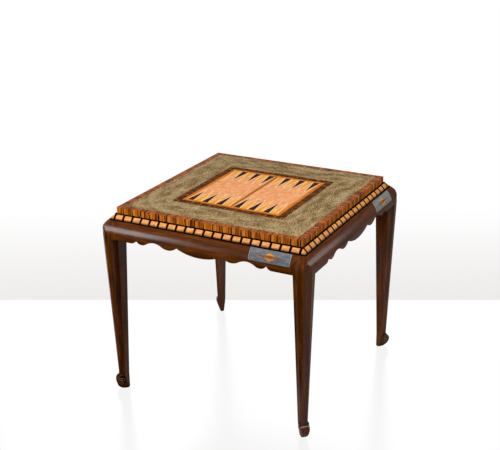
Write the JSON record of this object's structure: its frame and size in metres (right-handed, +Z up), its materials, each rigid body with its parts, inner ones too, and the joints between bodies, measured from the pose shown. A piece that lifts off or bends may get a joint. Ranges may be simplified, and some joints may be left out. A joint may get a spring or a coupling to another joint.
{
  "type": "games table",
  "caption": "Square games table with a veneered backgammon board, chequered bead, scalloped aprons with small frieze drawers, and tapering legs on scroll feet.",
  "frame": {"origin": "on the floor, under the middle of the square top", "axes": "+Z up, -Y towards the front side, +X towards the right side; all four sides are alike by quarter turns, and the board's points stand on the front and back sides"},
  "size_m": [0.862, 0.862, 0.762],
  "materials": {
    "frame_wood": "dark red-brown polished hardwood",
    "secondary_wood": "bare secondary wood",
    "drawer_wood": "bare sawn drawer stock",
    "field_veneer": "khaki straight-grained veneer, satin",
    "crossgrain_edge": "orange-brown striped crossgrain, polished",
    "rosewood": "dark rosewood veneer, satin",
    "orange_line": "orange veneer, satin",
    "board_ground": "peach veneer, satin",
    "bar_wood": "amber-brown veneer, satin",
    "dark_points": "dark brown veneer, satin",
    "amber_points": "amber veneer, satin",
    "pale_line": "cream stringing, satin",
    "ebonised": "ebonised wood, polished",
    "pale_blocks": "pale peach wood, polished",
    "plaque_grey": "blue-grey dyed veneer, polished",
    "plaque_amber": "amber and rosewood inlay, polished",
    "screw_steel": "zinc-plated steel"
  },
  "bodies": {
    "table": {"top_core": "secondary_wood", "field_veneer": "field_veneer", "board_band": "rosewood", "board_line": "orange_line", "board_ground": "board_ground", "board_bar": "bar_wood", "points_dark": "dark_points", "points_amber": "amber_points", "points_stringing": "pale_line", "subtop_panel": "secondary_wood", "upper_fillet": "ebonised", "lower_fillet": "ebonised", "bead_core": "secondary_wood", "bead_blocks": "pale_blocks", "bead_bars": "ebonised", "corner_braces": "secondary_wood", "glue_strips": "secondary_wood", "drawer_guides": "secondary_wood", "drawer_stops": "secondary_wood", "edge_lipping_front": "crossgrain_edge", "apron_front": "frame_wood", "edge_lipping_right": "crossgrain_edge", "apron_right": "frame_wood", "edge_lipping_back": "crossgrain_edge", "apron_back": "frame_wood", "edge_lipping_left": "crossgrain_edge", "apron_left": "frame_wood", "leg_front_right": "frame_wood", "leg_back_right": "frame_wood", "leg_back_left": "frame_wood", "leg_front_left": "frame_wood"},
    "front_drawer": {"drawer_front_front": "frame_wood", "drawer_sides_front": "drawer_wood", "drawer_back_front": "drawer_wood", "drawer_bottom_front": "drawer_wood", "plaque_field_front": "plaque_grey", "plaque_strings_front": "pale_line", "plaque_motif_front": "plaque_amber"},
    "right_drawer": {"drawer_front_right": "frame_wood", "drawer_sides_right": "drawer_wood", "drawer_back_right": "drawer_wood", "drawer_bottom_right": "drawer_wood", "plaque_field_right": "plaque_grey", "plaque_strings_right": "pale_line", "plaque_motif_right": "plaque_amber"},
    "back_drawer": {"drawer_front_back": "frame_wood", "drawer_sides_back": "drawer_wood", "drawer_back_back": "drawer_wood", "drawer_bottom_back": "drawer_wood", "plaque_field_back": "plaque_grey", "plaque_strings_back": "pale_line", "plaque_motif_back": "plaque_amber"},
    "left_drawer": {"drawer_front_left": "frame_wood", "drawer_sides_left": "drawer_wood", "drawer_back_left": "drawer_wood", "drawer_bottom_left": "drawer_wood", "plaque_field_left": "plaque_grey", "plaque_strings_left": "pale_line", "plaque_motif_left": "plaque_amber"}
  },
  "joints": [
    {"name": "front_drawer_slide", "type": "slide", "parent": "table", "child": "front_drawer", "axis": [0, -1, 0], "range_m": [0, 0.1636]},
    {"name": "right_drawer_slide", "type": "slide", "parent": "table", "child": "right_drawer", "axis": [1, 0, 0], "range_m": [0, 0.1636]},
    {"name": "back_drawer_slide", "type": "slide", "parent": "table", "child": "back_drawer", "axis": [0, 1, 0], "range_m": [0, 0.1636]},
    {"name": "left_drawer_slide", "type": "slide", "parent": "table", "child": "left_drawer", "axis": [-1, 0, 0], "range_m": [0, 0.1636]}
  ]
}
